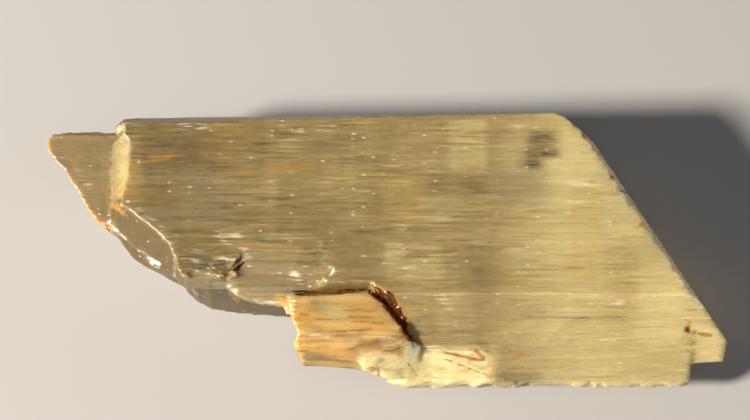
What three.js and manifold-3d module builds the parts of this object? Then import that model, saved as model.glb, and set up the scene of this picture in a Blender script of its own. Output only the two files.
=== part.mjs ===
// A loose crystal of yellow spodumene, lying on its flat back face.
// X runs along the striations, from the broken left end to the oblique right end. Z is up, and the
// origin is under the middle of the crystal, on the surface it rests on. Sizes are in millimetres.
import * as THREE from "three";
import { mergeVertices } from "three/addons/utils/BufferGeometryUtils.js";
import Module from "manifold-3d";

const wasm = await Module();
wasm.setup();

// Driving dimensions
const thickness = 11.4; // from the flat back face to the broad front face
const backEdge = 12.0; // furthest reach of the section towards +Y
const ridgeY = -6.5; // where the broad face turns into the steep front prism face
const frontEdge = -12.2; // foot of the steep front prism face
const frontEdgeZ = 3.4;
const coreTop = 8.7; // top of the inner layer, bare at the left tip
const layerFoot = 8.0; // height where the broken outlines of the outer layer end
const reach = 40; // half length of blocks that are cut down later
const seed = 11;

const tilt = (degrees) => THREE.MathUtils.degToRad(degrees);

// A small seeded random source, so that every build gives the same crystal.
function randomSource(start) {
  let state = start;
  return (low = 0, high = 1) => {
    state = (state * 1664525 + 1013904223) % 4294967296;
    return low + ((high - low) * state) / 4294967296;
  };
}

// The corners of a geometry merged, with nothing but their places kept.
function bare(geometry) {
  const plain = geometry.index ? geometry.toNonIndexed() : geometry.clone();
  plain.deleteAttribute("normal");
  plain.deleteAttribute("uv");
  return mergeVertices(plain, 1e-4);
}

// Any closed three.js geometry as a solid that can be joined and cut.
function solidOf(geometry) {
  const merged = bare(geometry);
  return new wasm.Manifold(
    new wasm.Mesh({
      numProp: 3,
      vertProperties: new Float32Array(merged.attributes.position.array),
      triVerts: new Uint32Array(merged.index.array),
    }),
  );
}

// A section in Y and Z drawn out along X, as the crystal's prism faces are.
function beam(section, left = -reach, right = reach) {
  const shape = new THREE.Shape(section.map(([y, z]) => new THREE.Vector2(y, z)));
  const geometry = new THREE.ExtrudeGeometry(shape, { depth: right - left, bevelEnabled: false });
  geometry.applyMatrix4(
    new THREE.Matrix4().makeBasis(
      new THREE.Vector3(0, 1, 0),
      new THREE.Vector3(0, 0, 1),
      new THREE.Vector3(1, 0, 0),
    ),
  );
  geometry.translate(left, 0, 0);
  return solidOf(geometry);
}

// A solid between two outlines. Each point is [x, y, footX, footY]: its place at the top, and how far
// its foot lies from there.
function block(points, low, high) {
  const top = points.map(([x, y]) => new THREE.Vector2(x, y));
  const foot = points.map(([x, y, dx = 0, dy = 0]) => new THREE.Vector2(x + dx, y + dy));
  const count = points.length;
  const positions = [
    ...foot.flatMap((p) => [p.x, p.y, low]),
    ...top.flatMap((p) => [p.x, p.y, high]),
  ];
  const index = [];
  for (const [a, b, c] of THREE.ShapeUtils.triangulateShape(foot, [])) {
    index.push(c, b, a);
  }
  for (const [a, b, c] of THREE.ShapeUtils.triangulateShape(top, [])) {
    index.push(a + count, b + count, c + count);
  }
  for (let i = 0; i < count; i++) {
    const next = (i + 1) % count;
    index.push(i, next, next + count, i, next + count, i + count);
  }
  const geometry = new THREE.BufferGeometry();
  geometry.setAttribute("position", new THREE.Float32BufferAttribute(positions, 3));
  geometry.setIndex(index);
  return solidOf(geometry);
}

// Everything on the outer side of a plane, for cutting a flat face.
function beyond(point, normal) {
  const side = 2 * reach;
  const geometry = new THREE.BoxGeometry(side, side, side);
  geometry.translate(0, 0, reach);
  const turn = new THREE.Quaternion().setFromUnitVectors(
    new THREE.Vector3(0, 0, 1),
    new THREE.Vector3(...normal).normalize(),
  );
  geometry.applyQuaternion(turn);
  geometry.translate(...point);
  return solidOf(geometry);
}

// A rough lump or hollow of flat facets: a coarse ball whose corners are pushed in and out, drawn out
// to the given half sizes and turned about Z.
function lump([x, y, z], halfSizes, random, { turn = 0, detail = 1, rough = 0.14 } = {}) {
  const geometry = bare(new THREE.IcosahedronGeometry(1, detail));
  const corners = geometry.attributes.position;
  const corner = new THREE.Vector3();
  for (let i = 0; i < corners.count; i++) {
    corner.fromBufferAttribute(corners, i).multiplyScalar(1 + random(-rough, rough));
    corners.setXYZ(i, corner.x, corner.y, corner.z);
  }
  geometry.scale(...halfSizes);
  geometry.rotateZ(tilt(turn));
  geometry.translate(x, y, z);
  return solidOf(geometry);
}

// A long thin spindle of eight flat facets: one growth ridge if it is joined, one etch groove if it
// is cut.
function spindle([x, y, z], length, width, depth, roll = 0) {
  const geometry = new THREE.OctahedronGeometry(1);
  geometry.scale(length / 2, width / 2, depth);
  geometry.rotateX(roll);
  geometry.translate(x, y, z);
  return solidOf(geometry);
}

const joined = (solids) => solids.reduce((sum, one) => sum.add(one));
const cutBy = (body, solids) => body.subtract(joined(solids));

// A straight stretch of the section broken into flat strips that stand a little proud or sunk, as
// striated faces do. The stretch runs from start to end, and sideways points out of the crystal.
function strips(start, end, sideways, count, step, random) {
  const points = [];
  const breaks = [0];
  for (let i = 1; i < count; i++) {
    breaks.push((i + random(-0.32, 0.32)) / count);
  }
  breaks.push(1);
  const softEdge = 0.004; // share of the stretch over which one strip turns into the next
  for (let i = 0; i < count; i++) {
    const rise = random(-step, step);
    for (const share of [breaks[i] + softEdge, breaks[i + 1] - softEdge]) {
      points.push([
        start[0] + (end[0] - start[0]) * share + sideways[0] * rise,
        start[1] + (end[1] - start[1]) * share + sideways[1] * rise,
      ]);
    }
  }
  return points;
}

// Growth ridges and etch grooves of many lengths on the broad face, the front prism face, the back
// and the foot.
function striate(body, random) {
  const ridges = [];
  const grooves = [];
  const ridgeShare = 0.4;
  const frontRoll = Math.atan2(frontEdgeZ - thickness, frontEdge - ridgeY);
  const broadRows = 44;
  for (let row = 0; row < broadRows; row++) {
    const y = ridgeY + 0.3 + ((9.6 - ridgeY) * (row + random(0.2, 0.8))) / broadRows;
    const target = random() < ridgeShare ? ridges : grooves;
    const place = [random(-20, 22), y, thickness - 0.06];
    target.push(spindle(place, random(9, 26), random(0.3, 0.8), random(0.1, 0.22)));
  }
  const frontRows = 20;
  for (let row = 0; row < frontRows; row++) {
    const down = (row + random(0.2, 0.8)) / frontRows;
    const place = [
      random(4, 24),
      ridgeY + (frontEdge - ridgeY) * down,
      thickness + (frontEdgeZ - thickness) * down,
    ];
    const target = random() < ridgeShare ? ridges : grooves;
    target.push(spindle(place, random(6, 18), random(0.3, 0.8), random(0.1, 0.2), frontRoll));
  }
  const backRows = 12;
  for (let row = 0; row < backRows; row++) {
    const z = 3 + (6 * (row + random(0.2, 0.8))) / backRows;
    const place = [random(-18, 16), backEdge - 0.05, z];
    grooves.push(spindle(place, random(9, 24), random(0.3, 0.7), 0.22, tilt(90)));
  }
  const footRows = 16;
  const plainFoot = 1.4; // half width of the strip in the middle of the foot that has no groove
  for (let row = 0; row < footRows; row++) {
    const y = -7.5 + (15 * (row + random(0.2, 0.8))) / footRows;
    if (Math.abs(y) < plainFoot) {
      continue;
    }
    grooves.push(spindle([random(-14, 22), y, 0], random(8, 22), random(0.3, 0.9), random(0.1, 0.2)));
  }
  return cutBy(body.add(joined(ridges)), grooves);
}

// The whole prism: a broad top face, a steep front prism face, a rounded back and a flat foot.
function makePrism(random) {
  const section = [
    [8.5, 0],
    [11.1, 2.2],
    ...strips([11.7, 4.2], [backEdge, 8.6], [1, 0], 6, 0.09, random),
    [11.6, 10.3],
    ...strips([10.7, thickness - 0.15], [ridgeY, thickness], [0, 1], 22, 0.13, random),
    ...strips([ridgeY - 0.15, thickness - 0.3], [frontEdge, frontEdgeZ], [-0.86, 0.5], 11, 0.12, random),
    [-10.7, 1.2],
    [-8.4, 0],
  ];
  return striate(beam(section), random);
}

// The inner layer, inset from the outer one. It carries the thin left tip.
function makeCore(random) {
  const section = [
    [8.0, 0],
    [10.1, 2.2],
    [10.8, 5.0],
    [10.9, 7.9],
    ...strips([10.3, coreTop], [-7.1, coreTop - 0.1], [0, 1], 12, 0.1, random),
    ...strips([-7.4, 8.2], [-10.2, 4.4], [-0.86, 0.5], 4, 0.08, random),
    [-8.9, 1.9],
    [-7.6, 0],
  ];
  const outline = [
    [reach, -20],
    [reach, 20],
    [-29.8, 20, 6, 0],
    [-30.1, 10.9, 6, -0.6],
    [-30.9, 10.4, 6.2, -0.6],
    [-31.3, 9.6, 6.4, -0.4],
    [-31.1, 8.7, 6.2, 0],
    [-30.5, 7.8, 5.8, 0.2],
    [-29.6, 6.8, 5.8, 0.2],
    [-28.9, 5.6, 5.4, 0.4],
    [-28.1, 4.4, 4.9, 0.6],
    [-27.3, 3.0, 4.6, 0.8],
    [-26.5, 1.8, 4.6, 1.0],
    [-25.7, 0.8, 4.4, 1.4],
    [-24.7, 0.2, 4.0, 1.6],
    [-24.2, -0.7, 4.2, 1.6],
    [-23.6, -1.8, 4.4, 1.8],
    [-22.3, -2.6, 3.6, 1.9],
    [-20.7, -3.1, 2.4, 2.5],
    [-18.8, -3.5, 0.4, 2.7],
    [-17.9, -4.4, 0, 2.7],
    [-16.9, -4.6, 0, 2.0],
    [-15.8, -4.7, 0, 1.5],
    [-13.7, -4.8, 0, 1.2],
    [-11.4, -5.0, 0, 1.2],
    [-8.3, -5.4, 0, 1.4],
    [-7.8, -8.0, 0.6, 3.8],
    [0.4, -9.0, 0.4, 3.4],
    [3.6, -20],
  ];
  return beam(section).intersect(block(outline, -0.5, coreTop + 1));
}

// The small rounded right tip: one more layer, a little below the faces of the outer one, that the
// short step at the right leaves bare.
function makeRightTip(random) {
  const section = [
    [0, 2],
    [0, 10.6],
    ...strips([-6.7, 10.6], [-10.4, 5.2], [-0.86, 0.5], 5, 0.07, random),
    [-9.9, 3.6],
    [-8.8, 2],
  ];
  return beam(section, 25, reach);
}

// The outer layer above its broken foot: the broad striated face. It ends in a wavy step at the left,
// in a long hollow break at the front left and in a short step at the right, and it leaves the inner
// layer bare there.
function makeOuterLayer(prism) {
  const outline = [
    [26.9, -20],
    [27.0, -11.3, 0.2, 0],
    [26.8, -10.3, 0.1, 0],
    [26.65, -9.3, 0.2, 0],
    [26.45, -8.4, 0.1, 0],
    [26.6, -8.0, 0.2, 0],
    [reach, -7.8],
    [reach, 20],
    [-23.2, 20, -0.7, 0],
    [-23.4, 9.9, -0.6, 0],
    [-23.2, 9.2, -1.9, 0],
    [-22.6, 8.5, -2.6, 0],
    [-22.4, 7.0, -2.9, 0],
    [-22.5, 5.5, -2.6, 0],
    [-22.9, 3.7, -2.2, -0.2],
    [-23.2, 2.3, -1.8, -1.0],
    [-22.5, 2.0, -1.6, -1.5],
    [-21.2, 0.9, -1.6, -1.6],
    [-19.9, -0.1, -1.7, -1.5],
    [-18.9, -1.3, -1.4, -1.2],
    [-18.4, -2.7, -0.8, -0.6],
    [-18.2, -4.2, -0.3, 0.2],
    [-17.7, -4.8, 0, 0.3],
    [-15.9, -4.9, 0, 0.3],
    [-14.0, -4.9, 0, 0.2],
    [-13.9, -5.4, 0.3, 0.5],
    [-13.6, -6.0, 0.4, 0.7],
    [-13.0, -6.4, 0.4, 0.8],
    [-12.2, -6.6, 0.2, 0.8],
    [-10.9, -6.8, 0, 0.7],
    [-9.3, -6.95, 0, 0.6],
    [-8.4, -6.95, 0, 0.5],
    [-8.3, -5.5, 0, 0.3],
    [-1.5, -5.3, 0, 0.3],
    [-0.2, -6.3, 0.2, 0.3],
    [1.2, -8.4, 0.2, 0.3],
    [2.6, -10.7, 0.2, 0.2],
    [3.2, -20],
  ];
  return prism.intersect(block(outline, layerFoot, thickness + 0.3));
}

// The rest of the outer layer below that height, where the left end slants back under the thin tip.
function makeLowerLayer(prism) {
  const outline = [
    [26.95, -20],
    [27.1, -9.8],
    [27.0, 20],
    [-23.9, 20, 5.6, 0],
    [-24.0, 9.2, 5.6, -1.2],
    [-22.6, 5.0, 4.8, 0],
    [-17.0, 3.0, 1, 0],
    [-2.0, -2.0],
    [1.6, -8.2],
    [3.0, -20],
  ];
  return prism.intersect(block(outline, -0.5, layerFoot + 0.2));
}

// The small stained crystal grown along the front edge, with its own oblique end against the large one.
function makeSideCrystal(random) {
  const outline = [
    [-8.5, -5.5, 0.3, 0.4],
    [-8.6, -7.1, 0.5, 0.5],
    [-8.1, -8.4, 0.4, 0.6],
    [-7.8, -9.6, 0.2, 0.6],
    [-8.2, -10.3, 0.7, 0.3],
    [-7.6, -10.9, 0.4, 0.2],
    [-3.0, -11.2, 0.2, 0],
    [0.6, -11.4, 0, -0.3],
    [2.9, -11.2, 0.3, -0.2],
    [1.1, -8.5, 0.4, 0.2],
    [0.1, -6.9, 0.5, 0.2],
    [-1.2, -5.4, 0.4, 0.2],
  ];
  const section = [
    ...strips([-5.1, 9.7], [-9.4, 9.4], [0, 1], 7, 0.14, random),
    [-10.6, 9.0],
    [-11.2, 7.8],
    [-11.4, 5.2],
    [-9.6, 4.0],
    [-5.1, 4.0],
  ];
  return beam(section).intersect(block(outline, 3.5, 10.2));
}

// The craggy ledge on the end of the side crystal and along the start of the front edge, the crust on
// the side crystal's left edge, and the chip at the back corner. Each row of crags is
// [y, z, left, right].
function makeLedges(random) {
  const crags = [
    lump([-1.1, -10.9, 6.9], [1.3, 1.0, 1.3], random, { turn: 20, rough: 0.06 }),
    lump([0.9, -10.4, 5.2], [2.5, 1.5, 2.0], random, { turn: 6, detail: 2, rough: 0.07 }),
    lump([1.6, -10.3, 7.3], [1.7, 1.1, 1.4], random, { turn: -8, detail: 2, rough: 0.08 }),
    lump([-8.4, -6.6, 9.0], [0.7, 0.8, 0.6], random, { turn: 30 }),
    lump([-7.6, -10.0, 8.5], [0.5, 0.8, 0.7], random, { turn: -10 }),
    lump([-23.4, 10.3, 9.8], [1.0, 0.8, 0.9], random, { turn: 10 }),
  ];
  const rows = [
    [-9.9, 6.0, 3.4, 8.6],
    [-10.5, 5.3, 2.6, 9.2],
    [-11.1, 4.5, 1.8, 9.4],
    [-11.6, 3.9, 1.6, 9.6],
  ];
  for (const [y, z, left, right] of rows) {
    for (let x = left; x < right; x += random(1.1, 2)) {
      const place = [x, y + random(-0.12, 0.12), z + random(-0.12, 0.12)];
      const size = [random(1.5, 2.8), random(0.45, 0.65), random(0.6, 0.85)];
      crags.push(lump(place, size, random, { turn: random(-9, 9), rough: 0.26 }));
    }
  }
  return joined(crags);
}

// The back edge drawn in a little towards the left end.
function taperBack(body) {
  return cutBy(body, [
    beyond([0, 11.82, 8.6], [-0.0136, 1, 0.02]),
    beyond([0, 11.3, 10.3], [-0.0136, 0.726, 0.688]),
  ]);
}

// The oblique right end: one steep face, a narrow bevel along its top edge, a rounded back corner and
// an undercut foot.
function cutRightEnd(body) {
  return cutBy(body, [
    beyond([23.05, 0.8, 11], [0.864, 0.503, 0.3]),
    beyond([22.45, 0.4, thickness], [0.62, 0.36, 0.7]),
    beyond([18.3, 9.6, 9.5], [0.66, 0.75, 0.18]),
    beyond([16.4, 11.1, 9.5], [0.36, 0.93, 0.12]),
    beyond([18.6, 8.8, 10.9], [0.55, 0.52, 0.66]),
    beyond([30.0, -9.7, 6.6], [0.95, -0.3, 0.1]),
    beyond([29.6, -10.6, 6.2], [0.7, -0.7, 0.05]),
    beyond([29.7, -7.6, 5.2], [0.78, 0.1, -0.62]),
  ]);
}

// A ledge split off along the striations: narrow slices side by side, each a little longer or shorter
// and a little deeper or higher than its neighbour. The corner rows, from back to front, are
// [y, left, right, floor].
function splitLedge(rows, sliceWidth, random) {
  const slices = [];
  const rowAt = (y) => {
    const next = Math.max(1, rows.findIndex((row) => row[0] <= y));
    const [before, after] = [rows[next - 1], rows[next]];
    const share = (y - before[0]) / (after[0] - before[0]);
    return before.map((value, i) => value + (after[i] - value) * share);
  };
  const overlap = 0.03;
  const frontY = rows.at(-1)[0];
  let y = rows[0][0];
  while (y - sliceWidth / 2 > frontY) {
    const width = sliceWidth * random(0.6, 1.4);
    const [, left, right, floor] = rowAt(Math.max(y - width / 2, frontY));
    const start = left + random(-0.22, 0.22);
    const end = right + random(-0.5, 0.5);
    const depth = floor + random(-0.06, 0.06);
    const lean = Math.min(1, (end - start) / 4);
    const corners = [
      [start, y + overlap, lean * random(0.2, 0.8), 0],
      [start + lean * random(-0.12, 0.12), y - width, lean * random(0.2, 0.8), 0],
      [end + lean * random(-0.12, 0.12), y - width, lean * random(-2, -0.6), 0],
      [end, y + overlap, lean * random(-2, -0.6), 0],
    ];
    slices.push(block(corners, depth, thickness + 1));
    y -= width;
  }
  return joined(slices);
}

// The clear ledge at the front left and the splintered edge beside it.
function cutLedges(body, random) {
  const clearLedge = [
    [-1.2, -10.8, -5.4, 10.95],
    [-1.9, -12.0, -4.6, 10.8],
    [-2.6, -12.9, -4.0, 10.6],
    [-3.6, -13.2, -4.2, 10.3],
    [-4.8, -13.7, -4.0, 9.9],
    [-5.2, -14.6, -4.8, 9.6],
    [-7.5, -14.6, -5.0, 8.9],
  ];
  const splinteredEdge = [
    [-3.5, -16.6, -15.0, 11.15],
    [-4.0, -17.4, -14.4, 10.95],
    [-4.6, -17.8, -14.0, 10.7],
    [-7.0, -18.2, -13.4, 10.3],
  ];
  const crackSide = [
    [-2.9, -14.1, -12.8, 11.1],
    [-3.9, -14.4, -13.0, 10.9],
    [-6.5, -14.2, -13.0, 10.3],
  ];
  return cutBy(body, [
    splitLedge(clearLedge, 0.85, random),
    splitLedge(splinteredEdge, 0.42, random),
    splitLedge(crackSide, 0.5, random),
  ]);
}

// Shell-like breaks at the left end, chips along the front edge, and the small etch pits near the
// right end.
function cutBreaks(body, random) {
  const hollows = [
    lump([-28.2, 6.4, 15.0], [4.7, 7.5, 6.4], random, { detail: 3, rough: 0.012 }),
    lump([-31.8, 5.0, 2.0], [5.6, 8.0, 5.6], random, { turn: 14, detail: 3, rough: 0.02 }),
    lump([-26.4, -5.4, 11.8], [7.0, 8.6, 7.0], random, { turn: 37, detail: 3, rough: 0.015 }),
    lump([-29.9, 1.5, 10.6], [2.0, 4.2, 2.6], random, { turn: 34, detail: 2, rough: 0.06 }),
    lump([-32.5, 7.0, 10.4], [2.6, 2.8, 1.9], random, { turn: 20, rough: 0.06 }),
    lump([-28.6, 11.8, 10.2], [4.0, 1.5, 1.9], random, { rough: 0.1 }),
    lump([-14.3, -6.6, 8.4], [1.4, 0.9, 2.4], random, { turn: 12 }),
    lump([14.7, -12.9, 3.6], [3.4, 1.3, 1.9], random),
    lump([27.6, -13.0, 3.2], [1.6, 1.2, 2.0], random, { turn: -30 }),
  ];
  for (const [x, y] of [[19.6, 5.1], [20.1, 3.6], [22.4, 0.1]]) {
    hollows.push(lump([x, y, thickness - 0.05], [0.34, 0.26, 0.3], random, { detail: 0 }));
  }
  hollows.push(lump([14.1, -10.4, 8.1], [0.5, 0.4, 0.5], random, { detail: 0 }));
  for (let x = 4; x < 27; x += random(1.1, 2.2)) {
    const size = random(0.5, 1.2);
    const place = [x, -12.4, random(2.8, 3.9)];
    hollows.push(lump(place, [size, 0.6, size * 0.8], random, { turn: random(-30, 30) }));
  }
  return cutBy(body, hollows);
}

// The open cracks on both sides of the side crystal, and the short one beside the clear ledge.
function cutCracks(body) {
  const high = thickness + 1;
  const wideCrack = [
    [-1.7, -5.2],
    [-1.2, -5.6],
    [-0.3, -6.4, 0.1, 0.1],
    [0.3, -7.2, 0.2, 0.1],
    [1.1, -8.5, 0.2, 0.1],
    [2.6, -10.8],
    [2.1, -9.3, -0.2, 0],
    [1.8, -8.3, -0.3, 0],
    [1.2, -7.5, -0.3, 0],
    [0.6, -6.7, -0.2, 0],
    [-0.1, -6.2, -0.1, 0],
  ];
  const topCrack = [
    [-8.2, -5.8],
    [-5.1, -5.7],
    [-1.4, -5.5],
    [-5.0, -5.4],
    [-7.9, -5.5],
  ];
  const ledgeCrack = [
    [-13.6, -4.2],
    [-12.9, -3.2],
    [-11.9, -2.5],
    [-13.2, -3.1],
  ];
  return cutBy(body, [
    block(wideCrack, 6.2, high),
    block(topCrack, 7.8, high),
    block(ledgeCrack, 8.2, high),
  ]);
}

// Drops the crumbs that a cut leaves loose.
function withoutCrumbs(solid) {
  return solid.decompose().reduce((most, one) => (one.volume() > most.volume() ? one : most));
}

function makeCrystal() {
  const random = randomSource(seed);
  const prism = makePrism(random);
  const layers = joined([
    makeCore(random),
    makeRightTip(randomSource(seed + 1)),
    makeOuterLayer(prism),
    makeLowerLayer(prism),
    makeLedges(random),
  ]);
  const ended = cutRightEnd(taperBack(layers));
  const broken = cutBreaks(cutLedges(ended, random), random);
  const grownTogether = cutCracks(broken.add(makeSideCrystal(random)));
  const finest = 0.012; // edges shorter than this are merged away
  return withoutCrumbs(grownTogether.simplify(finest));
}

// The solid as a three.js geometry, moved so that the origin is under its middle.
function geometryOf(solid) {
  const mesh = solid.getMesh();
  const geometry = new THREE.BufferGeometry();
  const positions = new Float32Array(mesh.numVert * 3);
  for (let i = 0; i < mesh.numVert; i++) {
    positions.set(mesh.vertProperties.subarray(i * mesh.numProp, i * mesh.numProp + 3), i * 3);
  }
  geometry.setAttribute("position", new THREE.BufferAttribute(positions, 3));
  geometry.setIndex(new THREE.BufferAttribute(mesh.triVerts, 1));
  geometry.computeBoundingBox();
  const { min, max } = geometry.boundingBox;
  geometry.translate(-(min.x + max.x) / 2, -(min.y + max.y) / 2, -min.z);
  geometry.computeVertexNormals();
  return geometry;
}

const spodumene = new THREE.MeshStandardMaterial({ color: "#a68c59", roughness: 0.25 });
const crystal = new THREE.Mesh(geometryOf(makeCrystal()), spodumene);
crystal.name = "spodumene_crystal";

const part = new THREE.Group();
part.name = "spodumene";
part.add(crystal);

export default part;
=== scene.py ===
import math

import bmesh
import bpy
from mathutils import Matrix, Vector, noise
from mathutils.bvhtree import BVHTree


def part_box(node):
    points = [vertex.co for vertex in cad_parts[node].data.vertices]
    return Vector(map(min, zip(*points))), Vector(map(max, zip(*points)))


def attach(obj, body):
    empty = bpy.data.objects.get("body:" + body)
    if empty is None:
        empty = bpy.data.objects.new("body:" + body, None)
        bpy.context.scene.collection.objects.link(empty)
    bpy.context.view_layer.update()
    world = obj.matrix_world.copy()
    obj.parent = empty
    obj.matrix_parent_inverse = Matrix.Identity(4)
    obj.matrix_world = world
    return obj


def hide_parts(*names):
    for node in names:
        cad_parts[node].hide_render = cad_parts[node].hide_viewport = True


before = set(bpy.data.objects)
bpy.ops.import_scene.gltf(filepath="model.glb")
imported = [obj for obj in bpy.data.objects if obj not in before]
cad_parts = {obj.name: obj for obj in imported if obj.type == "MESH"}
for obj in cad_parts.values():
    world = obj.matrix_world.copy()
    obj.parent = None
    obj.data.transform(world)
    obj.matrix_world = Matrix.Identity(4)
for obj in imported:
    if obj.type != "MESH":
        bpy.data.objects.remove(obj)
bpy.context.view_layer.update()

mm = 0.001  # sizes below are in millimetres, and Blender works in metres
scene = bpy.context.scene

cameraView = {
    "elevation": 66.0,  # degrees above the floor
    "distance": 281.25,
    "target": (-0.82, 3.49, 7.5),
    "lens": 150.0,
}


def makeCamera():
    data = bpy.data.cameras.new("photoCamera")
    data.lens = cameraView["lens"]
    data.sensor_width = 36
    data.clip_start = 0.01
    data.clip_end = 20
    data.dof.use_dof = False
    camera = bpy.data.objects.new("photoCamera", data)
    scene.collection.objects.link(camera)
    tilt = math.radians(cameraView["elevation"])
    back = Vector((0, -math.cos(tilt), math.sin(tilt)))
    camera.location = (Vector(cameraView["target"]) + back * cameraView["distance"]) * mm
    camera.rotation_mode = "QUATERNION"
    camera.rotation_quaternion = (-back).to_track_quat("-Z", "Y")
    scene.camera = camera


makeCamera()
print("camera ready")


def smoothStep(low, high, value):
    share = min(max((value - low) / (high - low), 0.0), 1.0)
    return share * share * (3 - 2 * share)


# 1 inside a box whose walls are soft, 0 outside
def boxShare(point, low, high, soft):
    share = 1.0
    for value, start, end in zip(point, low, high):
        share *= smoothStep(start - soft, start + soft, value) * smoothStep(end + soft, end - soft, value)
    return share


surface = {
    "merge": 0.001,  # corners nearer than this are one
    "snap": 0.002,  # a cut this near to a corner goes through it
    "flat": 2.5,  # degrees, faces nearer to flat than this are dissolved
    "rows": 0.14,  # pitch of the cuts across Y, which carry the striations
    "layers": 0.26,  # pitch of the cuts across Z
    "leftCells": 0.36,  # pitch of the cuts across X at the broken end
    "middleCells": 0.5,
    "rightCells": 0.75,
    "leftEnd": -17.0,
    "middleEnd": 10.5,
    "unevenness": 0.35,  # share by which the pitches vary
    "gap": 1.0,  # surfaces nearer than this to one another are moved less
    "rayStart": 0.02,  # how far off the surface the rays start that look for others
    "sharp": 35,  # degrees between faces that stay a sharp edge
}


def cutPlaces(low, high, pitch, seed):
    found = []
    place = low + pitch / 2
    while place < high:
        found.append(place)
        place += pitch * (1 + surface["unevenness"] * noise.noise(Vector((seed, len(found) * 1.37, 0.5))))
    return found


def sliceMesh(mesh, axis, cuts):
    normal = Vector((0, 0, 0))
    normal[axis] = 1
    for cut in cuts:
        parts = mesh.verts[:] + mesh.edges[:] + mesh.faces[:]
        snap, place = surface["snap"] * mm, normal * cut * mm
        bmesh.ops.bisect_plane(mesh, geom=parts, dist=snap, plane_co=place, plane_no=normal)


# soft boxes round parts of the crystal: low corner, high corner and softness of the walls
zones = {
    "sideCrystal": ((-9.5, -13, 3.2), (4, -5.55, 10.4), 0.12),
    "leftLedges": ((-18.2, -4.5), (-3.9, -0.9), 0.5),
    "notch": ((-18.4, -7.3, 8.6), (-3.6, -1.0, 11.35), 0.1),
    "scoopFloor": ((-25.5, -4.8, 3), (-18.4, 2.2, 10.2), 0.1),
    "scoopCalm": ((-25, -5, 1), (-17.8, 3, 11.3), 0.4),
    "scoopTint": ((-25.5, -5, 1), (-17.7, 3.1, 11.25), 0.3),
    "crackFoot": ((0.5, -11.7, 3.5), (3.6, -8.7, 10.3), 0.1),
    "crackSurround": ((-8.5, -9.5, 5.5), (3.2, -4.8, 12), 0.4),
    "crackWall": ((-1.6, -9.8, 5.5), (2.8, -4.9, 11.7), 0.15),
    "tipWall": ((-26, 3.2, 8.6), (-22, 10.4, 11.3), 0.25),
    "creamPatch": ((-5.8, -8.4, 7.5), (-2.8, -6.2, 12), 1.3),
    "window": ((-12.9, -7.6, 8.4), (-6.0, -1.2, 11.1), 0.3),
    "wallFoot": ((-19, -6.8, 0.3), (-8.4, 0, 8.2), 0.3),
}


def zoneShare(name, point):
    return boxShare(point, *zones[name])


# the front ledge of broken crags, with the ends of its soft borders
frontLedge = {
    "start": (-2.4, -1.8),
    "end": (10.2, 8.8),
    "leftFoot": (-10.2, -10.7),
    "rightFoot": (-9.3, -10.0),
    "footChange": 1.8,  # X where the one foot gives way to the other
    "top": (8.9, 8.3),
}


def ledgeShare(point):
    along = smoothStep(*frontLedge["start"], point.x) * smoothStep(*frontLedge["end"], point.x)
    foot = frontLedge["rightFoot"] if point.x > frontLedge["footChange"] else frontLedge["leftFoot"]
    return along * smoothStep(*foot, point.y) * smoothStep(*frontLedge["top"], point.z)


# the side crystal ends at an oblique line
obliqueLine = {
    "start": (-1.0, -5.4),
    "slope": -0.68,
    "border": (0.25, -0.1),
}


def sideCrystalShare(point):
    startX, startY = obliqueLine["start"]
    past = point.x - (startX + (point.y - startY) * obliqueLine["slope"])
    return zoneShare("sideCrystal", point) * smoothStep(*obliqueLine["border"], past)


fracture = {
    "acrossTurn": (0.16, 0.42),  # how far a face is turned towards the ends
    "rightEnd": (12.0, 15.0),  # the smooth oblique end is no fracture
    "rightTurn": (0.25, 0.45),
    "tipStart": (-22.2, -23.2),
    "tipSlope": 0.3,
    "tipTop": 11.5,
    "levelTurn": (0.97, 0.9),
    "ledge": 0.5,
    "foot": (0.0, 0.5),
}


# how broken the surface is: 0 on a grown face, 1 on a fracture
def fractureShare(point, normal):
    across = smoothStep(*fracture["acrossTurn"], abs(normal.x))
    rightEnd = smoothStep(*fracture["rightEnd"], point.x) * smoothStep(*fracture["rightTurn"], normal.x)
    slantedX = point.x - fracture["tipSlope"] * (fracture["tipTop"] - point.z)
    tip = smoothStep(*fracture["tipStart"], slantedX) * smoothStep(*fracture["levelTurn"], normal.z)
    share = max(across * (1 - rightEnd), tip, fracture["ledge"] * ledgeShare(point))
    return share * smoothStep(*fracture["foot"], point.z)


# room in front of and behind each point before another surface comes, 1 where there is plenty
def roomAround(mesh):
    tree = BVHTree.FromBMesh(mesh)
    reach = surface["gap"] * mm
    start = surface["rayStart"] * mm
    rooms = []
    for vert in mesh.verts:
        front = tree.ray_cast(vert.co + vert.normal * start, vert.normal, reach)[3]
        behind = tree.ray_cast(vert.co - vert.normal * start, -vert.normal, reach)[3]
        rooms.append(tuple(1.0 if found is None else found / reach for found in (front, behind)))
    return rooms


breakRounding = {
    "times": 3,
    "from": 0.55,  # places less broken than this stay as they are
    "pull": 0.5,
}


def roundBreaks(mesh, broken):
    for _ in range(breakRounding["times"]):
        moves = []
        for vert, share in zip(mesh.verts, broken):
            if share < breakRounding["from"]:
                continue
            others = [edge.other_vert(vert).co for edge in vert.link_edges]
            middle = sum(others, Vector()) / len(others)
            moves.append((vert, vert.co.lerp(middle, breakRounding["pull"] * share)))
        for vert, place in moves:
            vert.co = place


# cracks that show only as thin lines, made shallow: low corner, high corner, share kept
shallows = [
    ((-13.8, -4.5, 7.5), (-11.6, -2.2, 10.35), 0.08),
    ((-8.2, -5.8, 7.5), (-1.5, -5.2, 9.35), 0.15),
]
shallowSoftness = 0.1


def fillCracks(mesh):
    for low, high, kept in shallows:
        for vert in mesh.verts:
            point = vert.co / mm
            if low[2] < point.z < high[2]:
                share = boxShare(point.xy, low[:2], high[:2], shallowSoftness)
                vert.co.z = (high[2] + (point.z - high[2]) * (1 - (1 - kept) * share)) * mm


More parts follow.
